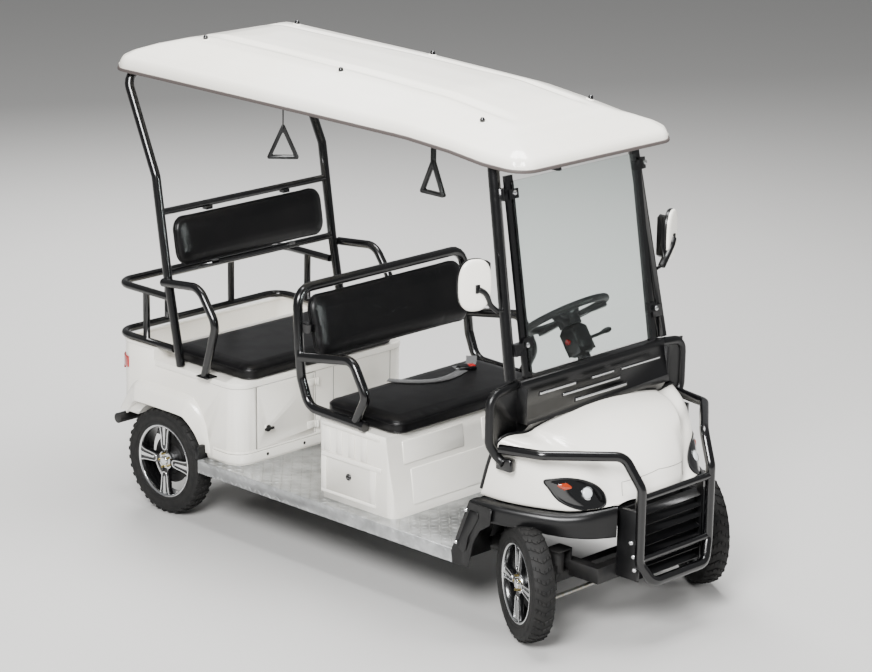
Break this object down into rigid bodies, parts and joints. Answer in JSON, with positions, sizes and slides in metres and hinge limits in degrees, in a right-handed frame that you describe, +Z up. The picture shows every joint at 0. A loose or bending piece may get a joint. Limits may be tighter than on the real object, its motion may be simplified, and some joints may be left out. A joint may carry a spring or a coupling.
{
  "type": "golf cart",
  "caption": "Open electric golf cart with a canopy roof, forward-facing bench seats, a rear load bay with rails, a front guard, steered front wheels and a swinging hatch.",
  "frame": {"origin": "on the ground at the middle of the cart's length and width", "axes": "+X forward, +Y to the cart's left, +Z up; the front wheels stand steered to the right at rest"},
  "size_m": [2.4898, 1.148, 1.7934],
  "materials": {
    "white_shell": "gloss",
    "roof_shell": "gloss",
    "black_tube": "gloss",
    "chassis_steel": "matte",
    "tie_rod_steel": "satin",
    "motor_casing": "matte",
    "battery_case": "matte",
    "floor_aluminium": "satin",
    "black_vinyl": "satin",
    "lamp_red": "gloss",
    "clear_glass": "gloss",
    "black_plastic": "satin",
    "lamp_black": "gloss",
    "mirror_shell": "gloss",
    "wheel_rubber": "satin",
    "strap_plastic": "matte",
    "belt_webbing": "matte",
    "tyre": "matte",
    "rim_alloy": "gloss"
  },
  "bodies": {
    "body": {"front_seat_box": "white_shell", "rear_body": "white_shell", "front_hood": "white_shell", "roof": "roof_shell", "front_seat_frame": "black_tube", "rear_pillars": "black_tube", "rear_armrests": "black_tube", "rear_rails": "black_tube", "roof_frame": "black_tube", "front_pillars": "black_tube", "front_guard": "black_tube", "chassis_frame": "chassis_steel", "front_axle": "chassis_steel", "rear_axle": "chassis_steel", "pedals": "chassis_steel", "drive_motor": "motor_casing", "battery_pack": "battery_case", "floor_plate": "floor_aluminium", "front_seat_cushion": "black_vinyl", "front_seat_back": "black_vinyl", "rear_seat_cushion": "black_vinyl", "rear_seat_back": "black_vinyl", "tail_lamps": "lamp_red", "windscreen": "clear_glass", "dash_cowl": "black_plastic", "front_fenders": "black_plastic", "grille": "black_plastic", "steering_column": "black_plastic", "headlamps": "lamp_black", "mirrors": "mirror_shell", "hand_straps": "strap_plastic", "seat_belt": "belt_webbing"},
    "rear_hatch": {"rear_hatch": "white_shell"},
    "steering_wheel": {"steering_wheel": "wheel_rubber"},
    "knuckle_left": {"knuckle_left": "chassis_steel"},
    "knuckle_right": {"knuckle_right": "chassis_steel"},
    "tie_rod": {"tie_rod": "tie_rod_steel"},
    "wheel_front_left": {"front_left_tyre": "tyre", "front_left_rim": "rim_alloy"},
    "wheel_front_right": {"front_right_tyre": "tyre", "front_right_rim": "rim_alloy"},
    "wheel_rear_left": {"rear_left_tyre": "tyre", "rear_left_rim": "rim_alloy"},
    "wheel_rear_right": {"rear_right_tyre": "tyre", "rear_right_rim": "rim_alloy"}
  },
  "joints": [
    {"name": "steering_turn", "type": "hinge", "parent": "body", "child": "steering_wheel", "pos_m": [0.5, 0.205, 0.948], "axis": [-0.5555, 0, 0.8315], "range_deg": [-50, 610]},
    {"name": "steer_left", "type": "hinge", "parent": "body", "child": "knuckle_left", "pos_m": [0.939, 0.384, 0.207], "axis": [0, 0, 1], "range_deg": [-5, 61]},
    {"name": "steer_right", "type": "hinge", "parent": "body", "child": "knuckle_right", "pos_m": [0.939, -0.384, 0.207], "axis": [0, 0, 1], "range_deg": [-5, 61]},
    {"name": "tie_rod_pivot", "type": "hinge", "parent": "knuckle_right", "child": "tie_rod", "pos_m": [1.01405, -0.4239, 0.1727], "axis": [0, 0, 1], "range_deg": [-61, 5]},
    {"name": "front_left_spin", "type": "hinge", "parent": "knuckle_left", "child": "wheel_front_left", "pos_m": [0.96529, 0.43345, 0.207], "axis": [0.4695, 0.8829, 0], "continuous": true},
    {"name": "front_right_spin", "type": "hinge", "parent": "knuckle_right", "child": "wheel_front_right", "pos_m": [0.91271, -0.43345, 0.207], "axis": [0.4695, 0.8829, 0], "continuous": true},
    {"name": "rear_left_spin", "type": "hinge", "parent": "body", "child": "wheel_rear_left", "pos_m": [-0.911, 0.44, 0.207], "axis": [0, 1, 0], "continuous": true},
    {"name": "rear_right_spin", "type": "hinge", "parent": "body", "child": "wheel_rear_right", "pos_m": [-0.911, -0.44, 0.207], "axis": [0, 1, 0], "continuous": true},
    {"name": "rear_hatch_hinge", "type": "hinge", "parent": "body", "child": "rear_hatch", "pos_m": [-0.517, -0.041, 0.4375], "axis": [0, 0, 1], "range_deg": [0, 100]}
  ],
  "couplings": [
    {"joint": "steer_left", "follows": "steering_turn", "ratio": 0.1},
    {"joint": "steer_right", "follows": "steering_turn", "ratio": 0.1},
    {"joint": "tie_rod_pivot", "follows": "steering_turn", "ratio": -0.1}
  ]
}
